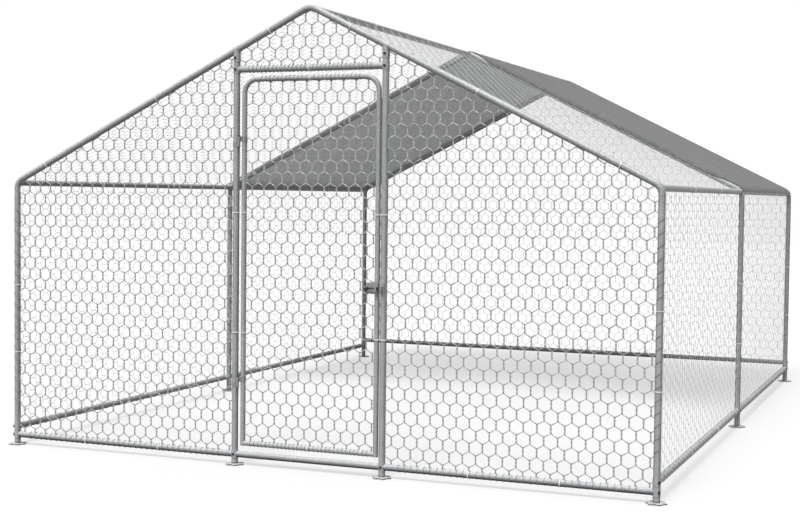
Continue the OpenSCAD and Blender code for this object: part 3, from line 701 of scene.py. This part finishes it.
def bind_posts():
    """The turns on the posts lean, each from one opening of the netting to the next."""
    rows = []
    for side in (LEFT, RIGHT):
        for y in (FRONT_Y, MID_Y, REAR_Y):
            ends = [(side * HALF_W, y, z) for z in (REAR_RAIL_Z, EAVE_Z - EAVE_BEND_R)]
            rows.append(turns_on(TUBE_R, *ends, step=ROW_H / 2, lean=side * POST_LEAN))
    bind(rows, "post_wire_turns", "frame")


def bind_door():
    rows = []
    for z, room in ((DOOR_BOTTOM_Z, DOOR_BOTTOM_ROOM), (DOOR_TOP_Z, DOOR_TOP_ROOM)):
        ends = [(x, FRONT_Y, z) for x in (HINGE_STILE_X, LATCH_STILE_X)]
        rows.append(turns_on(DOOR_TUBE_R, *ends, step=CELL_W / 3, room=room))
    bind(rows, "door_wire_turns", "door")


# Cover

def cover_lengths(off):
    """Lengths of one half of the cover: round the ridge, down the slope and round the eave."""
    straight = SLOPE_L - RIDGE_BEND_R * math.tan(PITCH) - EAVE_TAN
    return (RIDGE_BEND_R + off) * PITCH, straight, (EAVE_BEND_R + off) * EAVE_WRAP


def cover_line(across, off):
    """A point over the ridge, slope and eave: across runs from -1 at the left hem to 1 at the right one."""
    side = RIGHT if across >= 0 else LEFT
    arc, straight, wrap = cover_lengths(COVER_OFF)
    way = abs(across) * (arc + straight + wrap)
    turn = PITCH * min(1, way / arc)
    run = min(max(0, way - arc), straight)
    fold = EAVE_WRAP * max(0, way - arc - straight) / wrap
    ridge = RIDGE_BEND_R + off
    eave = EAVE_BEND_R + off
    x = ridge * math.sin(turn) + run * math.cos(PITCH) + eave * (math.sin(PITCH + fold) - math.sin(PITCH))
    z = ridge * math.cos(turn) - run * math.sin(PITCH) + eave * (math.cos(PITCH + fold) - math.cos(PITCH))
    return side * x, RIDGE_Z - RIDGE_BEND_R + z


def smooth_step(value, low, high):
    share = min(1, max(0, (value - low) / (high - low)))
    return share * share * (3 - 2 * share)


def sag(across, share):
    """How far the cloth hangs between the rafters, the ridge and the eave."""
    up = abs(across)
    hollow = math.sin(math.pi * share) * math.sin(math.pi * up)
    creases = math.sin(CREASES_ALONG * math.pi * share) * math.sin(CREASES_ACROSS * math.pi * up)
    return COVER_SAG * hollow * (1 + CREASE_SHARE * creases)


def front_wrap(across):
    """How far the front edge folds down over its rafter: less where the rails of the front bay meet it."""
    arc, straight, wrap = cover_lengths(COVER_OFF)
    way = abs(across) * (arc + straight + wrap)
    clear = smooth_step(way, 2 * TUBE_R, FOLD_EASE)
    clear *= 1 - smooth_step(way, arc + straight - FOLD_EASE, arc + straight - TUBE_R)
    return RAIL_WRAP + (FRONT_WRAP - RAIL_WRAP) * clear


def cover_place(across, way, off):
    """A point of the cover: way is the length from the middle rafter's axis to the rear."""
    if way < 0:
        fold = front_wrap(across) * -way / (FRONT_WRAP * COVER_MID)
        y = MID_Y - off * math.sin(fold)
        off *= math.cos(fold)
    elif way > BAY_L:
        fold = (way - BAY_L) / COVER_MID
        y = REAR_Y + off * math.sin(fold)
        off *= math.cos(fold)
    else:
        y = MID_Y + way
        off -= sag(across, way / BAY_L)
    x, z = cover_line(across, off)
    return Vector((x, y, z))


def cover_depths():
    """Where the front and rear edges of the cover are, as lengths from the middle rafter's axis."""
    return -FRONT_WRAP * COVER_MID, BAY_L + REAR_WRAP * COVER_MID


def cover_sheet(name, columns, rows, low, high, off):
    """A grid over the rear bay, between two places across the cover and along its depth."""
    deselect()
    bpy.ops.mesh.primitive_grid_add(x_subdivisions=columns, y_subdivisions=rows, size=2)
    sheet = newest(name)
    for vertex in sheet.data.vertices:
        across = low[0] + (high[0] - low[0]) * (vertex.co.x + 1) / 2
        way = low[1] + (high[1] - low[1]) * (vertex.co.y + 1) / 2
        vertex.co = cover_place(across, way, off)
    return sheet


def cover_field(front, rear):
    """The cloth: its fold over the middle rafters, its field and its fold over the rear rafters."""
    lengths = [("front_fold", front, 0.0, FRONT_FOLD_ROWS), ("field", 0.0, BAY_L, FIELD_ROWS),
               ("rear_fold", BAY_L, rear, REAR_FOLD_ROWS)]
    cloth = join([cover_sheet(name, COVER_COLUMNS, rows, (LEFT, low), (RIGHT, high), COVER_MID)
                  for name, low, high, rows in lengths], "cover")
    merge_doubles(cloth)
    finish_piece(cloth, "frame", [CLOTH, UNDERSIDE_PAINTED_LIGHT], ["roof_cover"])
    apply_modifier(cloth, "SOLIDIFY", thickness=COVER_T, offset=0, material_offset=1)
    smooth(cloth)
    return cloth


def cover_hem(front, rear, length):
    """Strips of doubled cloth along all four edges."""
    inset = 2 * HEM_W / length
    inner = BAY_L - HEM_W
    strips = [((LEFT, HEM_W), (LEFT + inset, inner), HEM_COLUMNS, FIELD_ROWS),
              ((RIGHT - inset, HEM_W), (RIGHT, inner), HEM_COLUMNS, FIELD_ROWS)]
    for low, high in ((front, 0.0), (0.0, HEM_W), (inner, BAY_L), (BAY_L, rear)):
        strips.append(((LEFT, low), (RIGHT, high), COVER_COLUMNS, HEM_ROWS))
    hem = join([cover_sheet("hem", columns, rows, low, high, COVER_MID + COVER_T + HEM_LIFT)
                for low, high, columns, rows in strips], "cover_hem")
    merge_doubles(hem)
    apply_modifier(hem, "SOLIDIFY", thickness=COVER_T, offset=0)
    smooth(hem)
    finish_piece(hem, "frame", [CLOTH])
    return hem


def cover():
    front, rear = cover_depths()
    length = 2 * sum(cover_lengths(COVER_MID))
    cloth = cover_field(front, rear)
    hem = cover_hem(front, rear, length)


# Stage

CAMERA_PLACE = (2.5692, -7.254, 1.1621)
CAMERA_TURN = (87.57, -0.636, 22.261)
LENS = 62.72
SENSOR_W = 36

SKY_TINT = (0.98, 0.99, 1, 1)
SKY_LOW = 0.06
SKY_HIGH = 0.6

FLOOR_W = 60
FLOOR_GAP = 0.0005
FLOOR_DARK = 0.32
FLOOR_LIGHT = 0.34
FLOOR_GLOW = 0.56
FLOOR_ROUGHNESS = 0.9


def camera():
    data = bpy.data.cameras.new("camera")
    data.sensor_width = SENSOR_W
    data.lens = LENS
    obj = bpy.data.objects.new("camera", data)
    obj.location = CAMERA_PLACE
    obj.rotation_euler = [math.radians(a) for a in CAMERA_TURN]
    bpy.context.scene.collection.objects.link(obj)
    bpy.context.scene.camera = obj


def white_to_camera(tree):
    """1 for rays that show the background, 0 for rays that light the object."""
    path = tree.nodes.new("ShaderNodeLightPath")
    total = path.outputs["Is Camera Ray"]
    for ray in ("Is Glossy Ray", "Is Transmission Ray"):
        larger = tree.nodes.new("ShaderNodeMath")
        larger.operation = "MAXIMUM"
        tree.links.new(total, larger.inputs[0])
        tree.links.new(path.outputs[ray], larger.inputs[1])
        total = larger.outputs["Value"]
    return total


def world():
    made = bpy.data.worlds.new("studio")
    made.use_nodes = True
    tree = made.node_tree
    light = tree.nodes["Background"]
    light.inputs["Color"].default_value = SKY_TINT
    height = tree.nodes.new("ShaderNodeSeparateXYZ")
    tree.links.new(tree.nodes.new("ShaderNodeTexCoord").outputs["Generated"], height.inputs["Vector"])
    tree.links.new(spread(tree, height.outputs["Z"], SKY_LOW, SKY_HIGH), light.inputs["Strength"])
    white = node(tree, "ShaderNodeBackground", Color=(1, 1, 1, 1), Strength=1.0)
    choice = tree.nodes.new("ShaderNodeMixShader")
    tree.links.new(white_to_camera(tree), choice.inputs["Fac"])
    tree.links.new(light.outputs["Background"], choice.inputs[1])
    tree.links.new(white.outputs["Background"], choice.inputs[2])
    tree.links.new(choice.outputs["Shader"], tree.nodes["World Output"].inputs["Surface"])
    bpy.context.scene.world = made


def sun(name, turn, strength, width):
    data = bpy.data.lights.new(name, "SUN")
    data.energy = strength
    data.angle = math.radians(width)
    obj = bpy.data.objects.new(name, data)
    obj.rotation_euler = [math.radians(a) for a in turn]
    bpy.context.scene.collection.objects.link(obj)


def floor():
    """A pale floor that throws little light up, as the ground under a run does."""
    deselect()
    bpy.ops.mesh.primitive_plane_add(size=FLOOR_W, location=(0, 0, -FLOOR_GAP))
    plane = newest("floor")
    material, tree, shader = new_material("pale_floor")
    patches = noise(tree, object_place(tree), FLOOR_PATCHES, detail=2.0)
    tone = ramp(tree, patches, [(0.3, grey(FLOOR_DARK)), (0.7, grey(FLOOR_LIGHT))])
    tree.links.new(tone, shader.inputs["Base Color"])
    shader.inputs["Emission Color"].default_value = (1, 1, 1, 1)
    tree.links.new(spread(tree, white_to_camera(tree), 0.0, FLOOR_GLOW), shader.inputs["Emission Strength"])
    shader.inputs["Roughness"].default_value = FLOOR_ROUGHNESS
    plane.data.materials.append(material)


def stage():
    bpy.context.scene.view_settings.view_transform = "Standard"
    camera()
    world()
    sun("key", turn=(31, 0, 6), strength=3.0, width=25)
    sun("fill", turn=(60, 0, -70), strength=0.2, width=40)
    floor()


dress_solids()
front_netting()
rear_netting()
side_netting()
roof_netting()
door_netting()
for cell in (FRONT_CELL, REAR_CELL, WALL_CELL, ROOF_CELL):
    bpy.data.objects.remove(cell)
bind_rails()
bind_posts()
bind_door()
cover()
stage()
